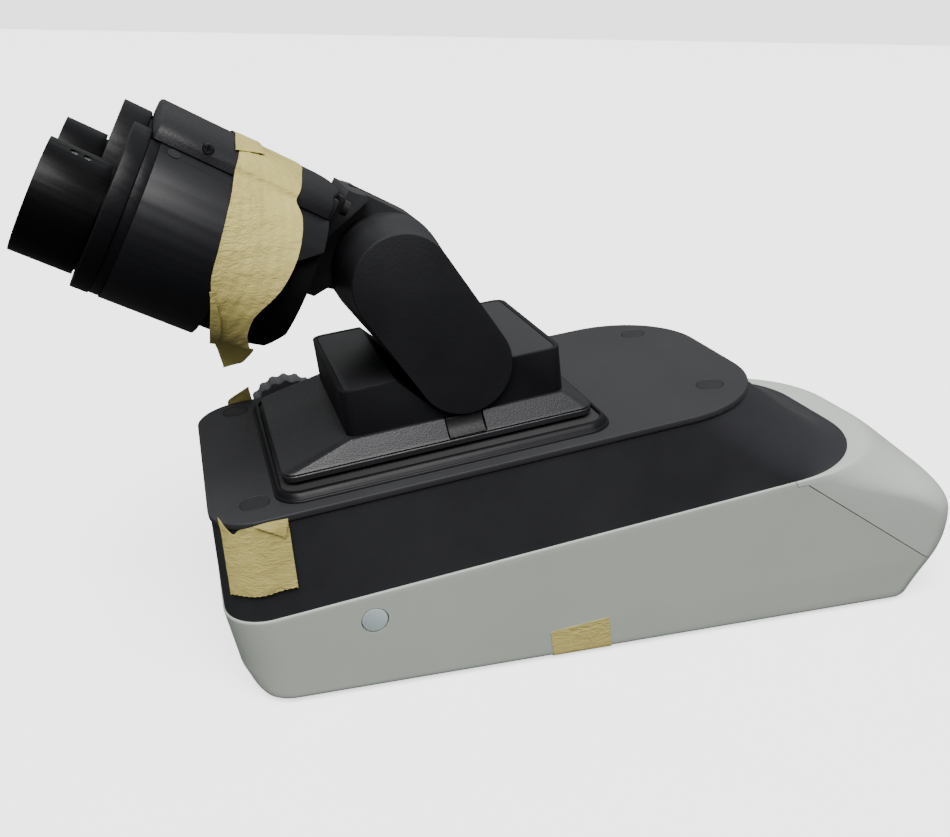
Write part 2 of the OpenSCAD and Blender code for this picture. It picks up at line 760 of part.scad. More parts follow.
module near_barrel() color([0.15, 0.15, 0.16]) barrel(-1);
module far_barrel() color([0.15, 0.15, 0.16]) barrel(1);
module near_plug() color([0.1, 0.1, 0.1]) barrel_plug(-1);
module far_plug() color([0.1, 0.1, 0.1]) barrel_plug(1);
module near_ring() color([0.13, 0.13, 0.14]) ring(-1);
module far_ring() color([0.13, 0.13, 0.14]) ring(1);
module near_band() color([0.11, 0.11, 0.12]) band(-1);
module far_band() color([0.11, 0.11, 0.12]) band(1);
module near_rear_body() color([0.06, 0.06, 0.06]) rear_body(-1);
module far_rear_body() color([0.06, 0.06, 0.06]) rear_body(1);
module near_optics() color("silver") optics(-1);
module far_optics() color("silver") optics(1);
module near_hood() color([0.12, 0.12, 0.13]) hood(-1);
module far_hood() color([0.12, 0.12, 0.13]) hood(1);
module hood_screws_near() color("silver") hood_screws(-1);
module hood_screws_far() color("silver") hood_screws(1);
module near_lens() color([0.7, 0.85, 0.9, 0.4]) lens(-1);
module far_lens() color([0.7, 0.85, 0.9, 0.4]) lens(1);

/* ---- Masking tape that holds the loose parts for transit ---- */

tape_t = 0.3;
tape_gap = 0.12;
tape_color = [0.85, 0.8, 0.58];

// A curved strip of tape round the X axis between two angles, measured from -Y upwards
module tape_arc(r, a0, a1, x0, x1) {
    translate([x0, 0, 0]) rotate([0, 90, 0]) rotate([0, 0, -90 - a1])
        rotate_extrude(angle = a1 - a0) translate([r, 0]) square([tape_t, x1 - x0]);
}

module head_tape() color(tape_color) {
    eye_side(-1) translate([0, 0, ring_z])
        tape_arc(barrel_r + tape_gap, -62, 68, 30, 53);
    head_place() {
        box([29, -saddle_w / 2 - tape_gap - tape_t, 30.4], [52, -saddle_w / 2 - tape_gap, saddle_z[1] + 0.5]);
        box([29, -saddle_w / 2 - tape_gap - tape_t, saddle_z[1] + 0.5 - tape_t], [56, 37.6, saddle_z[1] + 0.5]);
    }
    eye_side(-1) translate([44, -12.5, -18.6]) rotate([28, 20, 0])
        box([-4, -0.5, -19], [10, -0.5 + tape_t, 0]);
}

module front_tape() color(tape_color) console() {
    box([3, -half_w - tape_gap - tape_t, -27], [24.6, -half_w - tape_gap, 0.6]);
    box([3, -half_w - tape_gap - tape_t, 0.6 - tape_t], [22, -half_w + 4, 0.6]);
}

module bottom_tape() color(tape_color) {
    intersection() {
        console() box([110, -half_w - tape_gap - tape_t, -90], [134, -half_w - tape_gap, -74]);
        stand() box([0, -100, foot_h - tape_gap - tape_t], [300, 100, 60]);
    }
    stand() box([122.5, -half_w - tape_gap - tape_t, foot_h - tape_gap - tape_t],
        [144, -35, foot_h - tape_gap]);
}

module corner_tape() color(tape_color) console() {
    box([13, half_w + tape_gap, -22], [24, half_w + tape_gap + tape_t, 2]);
    side_profile([[13, 2 - eps], [24, 2 - eps], [24, 6], [19, 6.4]], half_w + tape_gap,
        half_w + tape_gap + tape_t);
}

base_tub();
rear_cap();
top_cover();
top_plate();
plate_plugs();
plate_screws();
rubber_feet();
bottom_screws();
collar();
moat_gasket();
lift_guide();
ballast_plate();
control_board();
board_standoffs();
power_module();
power_inlet();
knob_bush();
button_switch();
power_button();
side_knob();
knob_shaft();
pinion();
pedestal();
lift_rods();
lift_rack();
pivot_block();
block_caps();
lock_tab();
lower_shaft();
arm_frame();
arm_covers();
arm_bushes();
upper_shaft();
neck();
neck_screws();
saddle();
saddle_screws();
pupil_rails();
near_plug();
far_plug();
near_barrel();
far_barrel();
near_ring();
far_ring();
near_band();
far_band();
near_rear_body();
far_rear_body();
near_optics();
far_optics();
near_hood();
far_hood();
hood_screws_near();
hood_screws_far();
near_lens();
far_lens();
head_tape();
front_tape();
bottom_tape();
corner_tape();
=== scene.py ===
import json
import math
from random import Random

import bmesh
import bpy
from mathutils import Matrix, Vector


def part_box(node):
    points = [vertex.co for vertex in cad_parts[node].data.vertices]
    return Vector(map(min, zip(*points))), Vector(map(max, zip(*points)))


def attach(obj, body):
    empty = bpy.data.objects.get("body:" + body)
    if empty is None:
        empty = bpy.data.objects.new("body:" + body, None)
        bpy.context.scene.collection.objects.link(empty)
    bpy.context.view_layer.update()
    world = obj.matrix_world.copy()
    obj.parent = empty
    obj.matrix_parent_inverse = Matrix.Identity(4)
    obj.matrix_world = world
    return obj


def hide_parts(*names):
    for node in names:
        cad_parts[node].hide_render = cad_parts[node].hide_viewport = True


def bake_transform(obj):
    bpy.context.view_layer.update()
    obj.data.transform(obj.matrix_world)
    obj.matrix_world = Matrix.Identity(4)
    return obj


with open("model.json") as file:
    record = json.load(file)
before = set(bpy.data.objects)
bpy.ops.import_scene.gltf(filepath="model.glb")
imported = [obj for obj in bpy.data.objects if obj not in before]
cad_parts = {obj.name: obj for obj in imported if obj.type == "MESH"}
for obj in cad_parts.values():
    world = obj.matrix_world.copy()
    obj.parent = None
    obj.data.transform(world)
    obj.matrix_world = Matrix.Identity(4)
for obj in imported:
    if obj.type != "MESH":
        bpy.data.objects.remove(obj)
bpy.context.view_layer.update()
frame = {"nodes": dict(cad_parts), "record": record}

MM = 0.001
rng = Random(11)
record = frame["record"]
joints = {j["name"]: j for j in record["behaviour"]["joints"]}
mounts = {m["name"]: m for m in record["mounts"]}
slot_of = {p["node"]: p["material_slot"] for p in record["subparts"]}
body_of = {n: b for b, nodes in record["behaviour"]["bodies"].items() for n in nodes}


# ---- Local frames of the console, the arm and the head, in millimetres ----

def local_frame(z_axis, point, local):
    """Matrix from a local frame in mm to the row frame.

    Its Z is z_axis and its Y is the row's Y. The point, in metres, lies at local in it.
    """
    z = Vector(z_axis).normalized()
    y = Vector((0, 1, 0))
    x = y.cross(z).normalized()
    m = Matrix((x, y, z)).transposed()
    origin = Vector(point) - m @ Vector(local) * MM
    return Matrix.Translation(origin) @ m.to_4x4() @ Matrix.Scale(MM, 4)


KNOB = Vector((37.5, 65, -12))
console = local_frame(joints["lift_slide"]["axis"], joints["knob_turn"]["pos_m"], KNOB)
low_pivot = Vector(joints["arm_tilt"]["pos_m"])
high_pivot = Vector(joints["head_tilt"]["pos_m"])
arm = local_frame(high_pivot - low_pivot, low_pivot, (0, 0, 0))
ARM_L = (high_pivot - low_pivot).length / MM
near_seat = mounts["near_eyecup_seat"]
far_seat = mounts["far_eyecup_seat"]
PUPIL = (Vector(far_seat["pos_m"]) - Vector(near_seat["pos_m"])).y / MM / 2
SEAT_X = -13
view_axis = Vector(near_seat["axis"])
head = local_frame(Vector((-view_axis.z, 0, view_axis.x)) * -1, near_seat["pos_m"],
                   (SEAT_X, -PUPIL, 0))


def centre_of(node, local):
    """The middle of a CAD node's box, in a local frame."""
    low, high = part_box(node)
    return local.inverted() @ ((Vector(low) + Vector(high)) / 2)


# ---- Camera, floor and light ----

CAMERA_AT = (-0.129145, -0.344600, 0.222787)
CAMERA_TURN = (67.7195, -1.1338, -16.8801)
LENS = 36.833
LENS_SHIFT = (0.0031, 0.0055)
FILL_RANGE = (("From Min", -0.3), ("From Max", 0.9), ("To Min", 0.09), ("To Max", 0.6))
BACKDROP_STRENGTH = 3
FLOOR_SIZE = 40
FLOOR_GLOW = 1.6


def add_camera():
    cam = bpy.data.cameras.new("camera")
    obj = bpy.data.objects.new("camera", cam)
    bpy.context.collection.objects.link(obj)
    obj.location = CAMERA_AT
    obj.rotation_euler = [math.radians(a) for a in CAMERA_TURN]
    cam.sensor_width = 36
    cam.lens = LENS
    cam.shift_x, cam.shift_y = LENS_SHIFT
    cam.clip_start = 0.01
    bpy.context.scene.camera = obj


def area_light(name, at, look, size, power):
    light = bpy.data.lights.new(name, "AREA")
    light.shape = "RECTANGLE"
    light.size, light.size_y = size
    light.energy = power
    obj = bpy.data.objects.new(name, light)
    obj.location = at
    obj.rotation_euler = (Vector(look) - Vector(at)).to_track_quat("-Z", "Y").to_euler()
    bpy.context.collection.objects.link(obj)


def add_sun(name, direction, strength, spread):
    light = bpy.data.lights.new(name, "SUN")
    light.energy = strength
    light.angle = math.radians(spread)
    obj = bpy.data.objects.new(name, light)
    obj.rotation_euler = Vector(direction).to_track_quat("-Z", "Y").to_euler()
    bpy.context.collection.objects.link(obj)


def add_light():
    """A soft sun, a weak front light, and a fill that grows upwards behind a plain backdrop."""
    add_sun("soft_sun", direction=(0.20, 0.46, -1), strength=5.3, spread=50)
    area_light("front_light", at=(-0.35, -0.75, 1.2), look=(0, 0, 0.08), size=(0.9, 0.6), power=4.5)
    world = bpy.data.worlds.new("studio")
    world.use_nodes = True
    tree = world.node_tree

    def add(kind, **settings):
        node = tree.nodes.new(kind)
        for key, value in settings.items():
            setattr(node, key, value)
        return node

    fill = tree.nodes["Background"]
    fill.inputs["Color"].default_value = (0.96, 0.98, 1, 1)
    split = add("ShaderNodeSeparateXYZ")
    tree.links.new(add("ShaderNodeTexCoord").outputs["Generated"], split.inputs[0])
    rise = add("ShaderNodeMapRange", interpolation_type="SMOOTHSTEP")
    for socket, value in FILL_RANGE:
        rise.inputs[socket].default_value = value
    tree.links.new(split.outputs["Z"], rise.inputs["Value"])
    tree.links.new(rise.outputs["Result"], fill.inputs["Strength"])
    backdrop = add("ShaderNodeBackground")
    backdrop.inputs["Strength"].default_value = BACKDROP_STRENGTH
    mix = add("ShaderNodeMixShader")
    tree.links.new(add("ShaderNodeLightPath").outputs["Is Camera Ray"], mix.inputs[0])
    tree.links.new(fill.outputs[0], mix.inputs[1])
    tree.links.new(backdrop.outputs[0], mix.inputs[2])
    tree.links.new(mix.outputs[0], tree.nodes["World Output"].inputs["Surface"])
    bpy.context.scene.world = world


# ---- Materials ----

class Nodes:
    """A small helper that builds one material's node tree."""

    def __init__(self, name):
        self.mat = bpy.data.materials.new(name)
        self.mat.use_nodes = True
        self.tree = self.mat.node_tree
        self.shader = self.tree.nodes["Principled BSDF"]
        self.coords = self.tree.nodes.new("ShaderNodeTexCoord").outputs["Object"]

    def add(self, kind, inputs=None, **settings):
        node = self.tree.nodes.new(kind)
        for key, value in settings.items():
            setattr(node, key, value)
        for key, value in (inputs or {}).items():
            if isinstance(value, bpy.types.NodeSocket):
                self.tree.links.new(value, node.inputs[key])
            else:
                node.inputs[key].default_value = value
        return node

    def noise(self, scale, detail=4, rough=0.55, distortion=0, stretch=None):
        coords = self.coords
        if stretch:
            mapping = self.add("ShaderNodeMapping", {"Vector": coords, "Scale": stretch})
            coords = mapping.outputs[0]
        inputs = {"Vector": coords, "Scale": scale, "Detail": detail, "Roughness": rough,
                  "Distortion": distortion}
        return self.add("ShaderNodeTexNoise", inputs).outputs["Fac"]

    def cells(self, scale, smooth=0.4):
        inputs = {"Vector": self.coords, "Scale": scale, "Smoothness": smooth}
        return self.add("ShaderNodeTexVoronoi", inputs, feature="SMOOTH_F1").outputs["Distance"]

    def span(self, value, a, b, low=0.3, high=0.7):
        """The value's range from low to high, carried over to the range from a to b."""
        return self.add("ShaderNodeMapRange", {"Value": value, "From Min": low, "From Max": high,
                                               "To Min": a, "To Max": b}).outputs["Result"]

    def math(self, kind, a, b):
        return self.add("ShaderNodeMath", {0: a, 1: b}, operation=kind).outputs[0]

    def mix(self, fac, a, b):
        node = self.add("ShaderNodeMix", {"Factor": fac}, data_type="RGBA")
        for i, c in ((6, a), (7, b)):
            if isinstance(c, bpy.types.NodeSocket):
                self.tree.links.new(c, node.inputs[i])
            else:
                node.inputs[i].default_value = (*c, 1)
        return node.outputs[2]

    def link(self, value, socket):
        self.tree.links.new(value, self.shader.inputs[socket])

    def bump(self, height, distance, under=None):
        inputs = {"Height": height, "Distance": distance * MM, "Strength": 1.0}
        if under:
            inputs["Normal"] = under
        return self.add("ShaderNodeBump", inputs).outputs["Normal"]


def shade(colour, k):
    return tuple(min(1, c * k) for c in colour)


PATCH_SCALE = 25
ROUGH_SPAN = 0.06
PIT_SHADE = 0.72
COAT_ROUGH = 0.25


def surface(slot, colour, rough, grain, height, vary, metal=0.0, coat=0.0, spec=0.5,
            pattern="noise", stretch=None):
    """A moulded, painted or machined surface: fine relief, patches of tone, and uneven gloss.

    The relief's height is in mm. Tone varies by the share vary either way.
    """
    n = Nodes(slot)
    broad = n.noise(PATCH_SCALE, 5, 0.6)
    fine = n.cells(grain) if pattern == "cells" else n.noise(grain, 3, 0.6, stretch=stretch)
    tone = n.mix(n.span(broad, 0, 1), shade(colour, 1 - vary), shade(colour, 1 + vary))
    if pattern == "cells":
        tone = n.mix(n.span(fine, 0, 0.5, 0.1, 0.7), tone, shade(colour, PIT_SHADE))
    n.link(tone, "Base Color")
    n.link(n.math("ADD", n.span(broad, rough - ROUGH_SPAN, rough + ROUGH_SPAN),
                  n.span(fine, -ROUGH_SPAN / 2, ROUGH_SPAN / 2)), "Roughness")
    n.link(n.bump(fine, height), "Normal")
    n.shader.inputs["Metallic"].default_value = metal
    n.shader.inputs["Coat Weight"].default_value = coat
    n.shader.inputs["Coat Roughness"].default_value = COAT_ROUGH
    n.shader.inputs["Specular IOR Level"].default_value = spec
    return n.mat


def crepe(slot, colour):
    """Creased paper tape: wrinkles across the strip, strong in patches and smooth between them."""
    n = Nodes(slot)
    patch = n.span(n.noise(45, 3, 0.5), 0.25, 1, 0.35, 0.6)
    wrinkle = n.noise(620, 4, 0.65, 0.8, stretch=(0.5, 1, 1.25))
    fibre = n.noise(2600, 2, 0.6)
    height = n.math("MULTIPLY", wrinkle, patch)
    tone = n.mix(n.span(n.noise(70, 4, 0.6), 0, 1), shade(colour, 0.93), shade(colour, 1.05))
    # the tone darkens a little with the wrinkles' height: painted shade in the creases
    tone = n.mix(n.span(height, 0, 0.35, 0.2, 0.62), tone, shade(colour, 0.8))
    n.link(tone, "Base Color")
    n.link(n.span(fibre, 0.58, 0.72), "Roughness")
    n.link(n.bump(height, 0.8, n.bump(fibre, 0.05)), "Normal")
    n.shader.inputs["Specular IOR Level"].default_value = 0.15
    return n.mat


def glass(slot, tint):
    """Coated lens glass with faint unevenness in its polish."""
    n = Nodes(slot)
    haze = n.noise(60, 4, 0.6)
    n.link(n.mix(n.span(haze, 0, 1), shade(tint, 0.97), tint), "Base Color")
    n.link(n.span(haze, 0.02, 0.06), "Roughness")
    n.shader.inputs["Transmission Weight"].default_value = 1
    n.shader.inputs["IOR"].default_value = 1.5
    n.shader.inputs["Coat Weight"].default_value = 0.3
    return n.mat


# slot: colour, roughness, scale of the grain, relief in mm, variation of tone, other settings
FINISHES = {
    "tub_grey": ((0.37, 0.40, 0.355), 0.5, 1400, 0.012, 0.03, {"spec": 0.25}),
    "cap_grey": ((0.41, 0.44, 0.395), 0.45, 1400, 0.012, 0.03, {"spec": 0.35}),
    "cover_black": ((0.024, 0.024, 0.027), 0.5, 1600, 0.02, 0.15, {"spec": 0.08}),
    "plate_black": ((0.027, 0.027, 0.029), 0.5, 1600, 0.02, 0.1, {"spec": 0.16}),
    "plug_black": ((0.020, 0.020, 0.021), 0.5, 1200, 0.02, 0.1, {"spec": 0.15}),
    "steel": ((0.60, 0.60, 0.61), 0.28, 900, 0.006, 0.08, {"metal": 1, "stretch": (1, 0.1, 1)}),
    "rubber": ((0.018, 0.018, 0.018), 0.75, 900, 0.04, 0.15, {}),
    "collar_black": ((0.004, 0.004, 0.005), 0.4, 1500, 0.01, 0.1, {"spec": 0.16}),
    "frame_alloy": ((0.52, 0.52, 0.53), 0.35, 700, 0.008, 0.08, {"metal": 1}),
    "ballast_iron": ((0.16, 0.16, 0.17), 0.6, 500, 0.08, 0.2, {"metal": 0.8}),
    "board_green": ((0.02, 0.12, 0.05), 0.35, 300, 0.03, 0.3, {"coat": 0.4}),
    "module_grey": ((0.5, 0.5, 0.52), 0.35, 700, 0.01, 0.08, {"metal": 1}),
    "inlet_black": ((0.02, 0.02, 0.02), 0.35, 1200, 0.015, 0.1, {}),
    "bush_brass": ((0.60, 0.42, 0.17), 0.3, 900, 0.008, 0.08, {"metal": 1}),
    "button_grey": ((0.38, 0.44, 0.46), 0.42, 1400, 0.01, 0.04, {"coat": 0.2}),
    "knob_black": ((0.14, 0.14, 0.15), 0.6, 1400, 0.02, 0.12, {"spec": 0.25}),
    "skirt_black": ((0.016, 0.016, 0.018), 0.42, 1700, 0.045, 0.2,
                    {"spec": 0.36, "pattern": "cells"}),
    "block_black": ((0.008, 0.008, 0.0095), 0.45, 1500, 0.02, 0.1, {"spec": 0.15}),
    "block_cap": ((0.017, 0.017, 0.019), 0.36, 1500, 0.02, 0.1, {"spec": 0.35}),
    "tab_black": ((0.008, 0.008, 0.008), 0.45, 900, 0.04, 0.1, {"spec": 0.2, "pattern": "cells"}),
    "arm_black": ((0.012, 0.012, 0.0135), 0.42, 1500, 0.015, 0.1, {"spec": 0.25}),
    "arm_cover": ((0.0125, 0.0125, 0.0145), 0.42, 1500, 0.06, 0.25,
                  {"spec": 0.3, "pattern": "cells"}),
    "neck_black": ((0.019, 0.019, 0.021), 0.4, 1500, 0.015, 0.1, {"spec": 0.35}),
    "saddle_black": ((0.011, 0.011, 0.0125), 0.5, 1300, 0.05, 0.2,
                     {"spec": 0.24, "pattern": "cells"}),
    "screw_black": ((0.03, 0.03, 0.03), 0.3, 1300, 0.01, 0.1, {"metal": 0.6}),
    "barrel_black": ((0.0042, 0.0042, 0.0055), 0.44, 1600, 0.012, 0.08, {"spec": 0.34}),
    "ring_black": ((0.003, 0.003, 0.0038), 0.42, 1100, 0.04, 0.1, {"spec": 0.2}),
    "rear_black": ((0.0015, 0.0015, 0.0018), 0.6, 1100, 0.03, 0.2, {"spec": 0.1}),
    "hood_black": ((0.0014, 0.0014, 0.0018), 0.34, 1600, 0.012, 0.08, {"spec": 0.14}),
}
MATERIALS = {slot: surface(slot, *finish[:5], **finish[5]) for slot, finish in FINISHES.items()}
MATERIALS["lens_glass"] = glass("lens_glass", (0.86, 0.95, 0.97))
MATERIALS["tape"] = crepe("tape", (0.53, 0.45, 0.15))


# ---- Mesh helpers ----

def link_mesh(name, mesh):
    obj = bpy.data.objects.new(name, mesh)
    bpy.context.collection.objects.link(obj)
    return obj


BEVEL_SEGMENTS = 3
MERGE_MM = 0.004
FLAT_DEG = 0.6
WELD_MM = 1e-4


def dress(obj, body, slot, nodes=(), bevel=0.0, angle=28):
    """Ride, replace, slot, material, bevel in mm and smooth shading for a new piece."""
    mesh = obj.data
    mesh.materials.clear()
    mesh.materials.append(MATERIALS[slot])
    for poly in mesh.polygons:
        poly.use_smooth = True
    if bevel:
        mod = obj.modifiers.new("bevel", "BEVEL")
        mod.width = bevel * MM
        mod.segments = BEVEL_SEGMENTS
        mod.limit_method = "ANGLE"
        mod.angle_limit = math.radians(angle)
        mod.harden_normals = True
        mod.use_clamp_overlap = True
    else:
        mesh.set_sharp_from_angle(angle=math.radians(angle))
    if body:
        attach(obj, body)
    if nodes:
        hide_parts(*nodes)
    return obj


def cleaned(node):
    """A copy of a CAD node's mesh with its doubled points merged and its flat faces whole."""
    mesh = frame["nodes"][node].data.copy()
    bm = bmesh.new()
    bm.from_mesh(mesh)
    bmesh.ops.remove_doubles(bm, verts=bm.verts, dist=MERGE_MM * MM)
    bmesh.ops.dissolve_limit(bm, angle_limit=math.radians(FLAT_DEG), verts=bm.verts, edges=bm.edges)
    bm.to_mesh(mesh)
    bm.free()
    return mesh


def soften(node, bevel):
    """A cleaned copy of a CAD node with softened edges, which stands for it."""
    obj = link_mesh(node + "_finish", cleaned(node))
    dress(obj, body_of[node], slot_of[node], [node], bevel)


def outline(x0, x1, w, fr, rr, n=14):
    """A plan outline with rounded corners, anticlockwise from the rear end of the near side.

    It is w wide, and fr and rr are the radii of its front and rear corners.
    """
    pts = []
    corners = ((x1 - rr, -1, rr, -90), (x1 - rr, 1, rr, 0),
               (x0 + fr, 1, fr, 90), (x0 + fr, -1, fr, 180))
    for cx, side, r, a0 in corners:
        for i in range(n + 1):
            a = math.radians(a0 + 90 * i / n)
            pts.append((cx + r * math.cos(a), side * (w / 2 - r) + r * math.sin(a)))
    return pts


def inset(ring, d):
    """The outline moved inwards by d, which is a number or a list of one number for each point."""
    out = []
    for i, (x, y) in enumerate(ring):
        x0, y0 = ring[i - 1]
        x1, y1 = ring[(i + 1) % len(ring)]
        t = Vector((x1 - x0, y1 - y0)).normalized()
        k = d[i] if isinstance(d, list) else d
        out.append((x - t.y * k, y + t.x * k))
    return out


def level(ring, z):
    return [(x, y, z) for x, y in ring]


def loft(rings, closed=False, caps=(False, False)):
    """A mesh through rings of equally many points, joined in order."""
    bm = bmesh.new()
    rows = [[bm.verts.new(p) for p in ring] for ring in rings]
    pairs = list(zip(rows, rows[1:])) + ([(rows[-1], rows[0])] if closed else [])
    for low, high in pairs:
        for i in range(len(low)):
            bm.faces.new((low[i - 1], low[i], high[i], high[i - 1]))
    if caps[0]:
        bm.faces.new(rows[0][::-1])
    if caps[1]:
        bm.faces.new(rows[-1])
    bmesh.ops.remove_doubles(bm, verts=bm.verts, dist=WELD_MM)
    bmesh.ops.recalc_face_normals(bm, faces=bm.faces)
    mesh = bpy.data.meshes.new("loft")
    bm.to_mesh(mesh)
    bm.free()
    return mesh


def prism(points, y0, y1):
    """A side profile in x and z, extruded from y0 to y1."""
    return loft([[(x, y, z) for x, z in points] for y in (y0, y1)], caps=(True, True))


def rectangle(x0, x1, z0, z1):
    return [(x0, z0), (x1, z0), (x1, z1), (x0, z1)]


def disc(x, z, r, n=48):
    return [(x + r * math.cos(2 * math.pi * i / n), z + r * math.sin(2 * math.pi * i / n))
            for i in range(n)]


def side_span(side, a, b):
    """From a to b on the near side (-1) or the far side (1), low end first."""
    return sorted((side * a, side * b))


def baked(obj):
    """Apply the object's modifiers to its mesh."""
    bpy.context.view_layer.update()
    mesh = bpy.data.meshes.new_from_object(obj.evaluated_get(bpy.context.evaluated_depsgraph_get()))
    obj.modifiers.clear()
    obj.data = mesh
    return obj


def combine(obj, tools, operation="DIFFERENCE"):
    """Cut the object with tool meshes, or keep what they share with it."""
    helpers = [link_mesh("tool", mesh) for mesh in tools]
    for helper in helpers:
        mod = obj.modifiers.new("cut", "BOOLEAN")
        mod.operation = operation
        mod.solver = "MANIFOLD"
        mod.object = helper
    baked(obj)
    for helper in helpers:
        bpy.data.objects.remove(helper)
    return obj


def thicken(obj, t):
    mod = obj.modifiers.new("wall", "SOLIDIFY")
    mod.thickness = t
    mod.offset = -1
    mod.use_even_offset = True
    return baked(obj)


def place(obj, matrix):
    obj.data.transform(matrix)
    return obj


def smoothstep(t):
    t = min(1, max(0, t))
    return t * t * (3 - 2 * t)


def between(table, z):
    """Value at z in a table of (z, value) that runs downwards."""
    for (z0, v0), (z1, v1) in zip(table, table[1:]):
        if z >= z1:
            return v0 + (v1 - v0) * (z0 - max(z1, min(z0, z))) / (z0 - z1)
    return table[-1][1]


# ---- Console: grey body, black cover, collar ----

PLATE_LENGTH = 210
WIDTH = 110
CORNER_R = 17
SEAM_Z = -38        # the seam between the grey body and the black cover
FLARE = 3           # how far the cover's front leans out on its way down to the seam
CURL_Z = -58.7      # below this the front of the grey body curls under its foot
CURL_R = 13.5
TUB_WALL = 2.6
FOOT_R = 1.6
SMOOTH_REAR_Z = -41
# (height, x) down the rear end of the grey body
REAR = [(-38, 269), (-44, 276), (-52, 283), (-60, 290), (-68, 294.3), (-76, 295.3), (-84, 294),
        (-91, 290.7), (-99, 283), (-106, 277.5), (-116, 270)]
# (x, height) along the line where the rear cap meets the tub
CAP_SPLIT = [(214.6, -20), (214.6, -38.1), (215.3, -40.5), (220, -40.8), (278, -90.4),
             (280.5, -91.2), (330, -91.2), (330, -20)]
CAP_GAP = 0.12      # how far the tub and the cap each stay back from the parting line


def soft_plus(d, width):
    """The larger of d and 0, with the corner between them rounded over the width."""
    return (d + math.sqrt(d * d + width * width)) / 2


def body_outline(z):
    """Outline of the grey body at depth z.

    The front leans back and curls under its foot, and the tail bulges.
    """
    lean = min(1, (SEAM_Z - z) / (SEAM_Z - CURL_Z))
    x0 = -FLARE + 1.5 * lean
    x1 = between(REAR, z)
    if z < SMOOTH_REAR_Z:
        x1 = sum(between(REAR, z + d) for d in (-3, -1.5, 0, 1.5, 3)) / 5
    rear_r = 14 + 31 * (1 - smoothstep((SEAM_Z - z) / 34))
    ring = outline(x0, x1, WIDTH, CORNER_R, rear_r, 16)
    if z > CURL_Z:
        return ring
    nose = 12 - math.sqrt(max(CURL_R ** 2 - (z - CURL_Z) ** 2, 3.5))
    blend = 0.05 + 2.2 * smoothstep((CURL_Z - z) / 6)
    return [(nose + soft_plus(x - nose, blend), y) for x, y in ring]


def floor_depth(x):
    """Height of the floor under x, which slopes in the console's frame."""
    return -72.2 - (x - 13) * 35 / 252


def grey_body():
    """Open shell from the flat rim at the seam down to the rounded floor edge."""
    n = len(body_outline(SEAM_Z))
    ends = [floor_depth(body_outline(SEAM_Z)[k][0]) for k in range(n)]
    for _ in range(8):
        ends = [floor_depth(body_outline(ends[k])[k][0]) for k in range(n)]
    # the rim's rounding grows towards the tail
    folds = [0.8 + 1.9 * smoothstep((x - 236) / 26) for x, y in body_outline(SEAM_Z)]

    def row(depths, inward):
        ring = [body_outline(z)[k] for k, z in enumerate(depths)]
        return [(x, y, z) for (x, y), z in zip(inset(ring, inward), depths)]

    rings = [level(outline(0.5, 254, WIDTH - 6, 14, 37, 16), SEAM_Z)]
    for i in range(5):
        a = math.radians(90 * i / 4)
        rings.append(row([SEAM_Z - f * (1 - math.cos(a)) for f in folds],
                         [f * (1 - math.sin(a)) for f in folds]))
    rows = 30
    for j in range(1, rows + 1):
        rings.append(row([SEAM_Z - f + (end + FOOT_R - SEAM_Z + f) * j / rows
                          for f, end in zip(folds, ends)], 0))
    for i in range(1, 5):
        a = math.radians(90 * i / 4)
        rings.append(row([end + FOOT_R * (1 - math.sin(a)) for end in ends],
                         FOOT_R * (1 - math.cos(a))))
    rings[-1] = [(x, y, floor_depth(x)) for x, y, z in rings[-1]]
    return loft(rings, caps=(False, True))


def cap_region(shift):
    """Everything behind the parting line, moved by shift."""
    return prism([(x + shift, z + shift) for x, z in CAP_SPLIT], -70, 70)


tub = thicken(link_mesh("tub_shell", grey_body()), TUB_WALL)
cap = link_mesh("cap_shell", tub.data.copy())
button = centre_of("power_button", console)
inlet = centre_of("power_inlet", console)
button_hole = prism(disc(button.x, button.z, 4.95), -60, -45)
inlet_hole = prism(rectangle(inlet.x - 14.1, inlet.x + 14.1, inlet.z - 10.1, inlet.z + 10.1),
                   45, 60)
combine(tub, [cap_region(-CAP_GAP), button_hole, inlet_hole])
combine(cap, [cap_region(CAP_GAP)], "INTERSECT")
dress(place(tub, console), "base", "tub_grey", ["base_tub"], angle=32)
dress(place(cap, console), "base", "cap_grey", ["rear_cap"], angle=32)


def cover_outline(v):
    """Outline of the black cover from the plate (v = 0) down to the seam (v = 1)."""
    run = 0.72 * v + 0.28 * (1 - math.sqrt(max(0, 1 - v * v)))
    return outline(-FLARE * v, PLATE_LENGTH + 47.4 * run, WIDTH, CORNER_R, 38 + 2 * v, 16)


def black_cover():
    """Closed shell: its outer skin goes down to the seam and its inner skin comes back up."""
    top = -2.5
    roof = 1.6
    drop = SEAM_Z - top
    steps = sorted(math.cos(math.radians(90 * i / 22)) for i in range(23))
    hole = outline(20, 200, 90, 20, 20, 16)
    rings = [level(hole, top), level(inset(cover_outline(0), 1.4), top)]
    rings += [level(inset(cover_outline(v), 0.6), top - 0.4 + (drop + 0.5) * v) for v in steps]
    rings += [level(inset(cover_outline(v), 3.6), top - roof + (drop + 1.7) * v)
              for v in reversed(steps)]
    rings.append(level(hole, top - roof))
    return loft(rings, closed=True)


cover = link_mesh("cover_shell", black_cover())
dress(place(cover, console), "base", "cover_black", ["top_cover"], angle=30)


COLLAR_WIDTH = 4.4
# (distance inwards, height) from the collar's outer foot over its top
COLLAR_PROFILE = [(0, 0), (0.15, 0.6), (0.45, 0.85), (1.0, 0.95), (1.15, 1.1), (1.4, 1.6),
                  (2.3, 2.5), (2.7, 2.8), (3.2, 2.9), (3.9, 2.9), (4.25, 2.75), (4.4, 2.4),
                  (4.4, 0.02)]


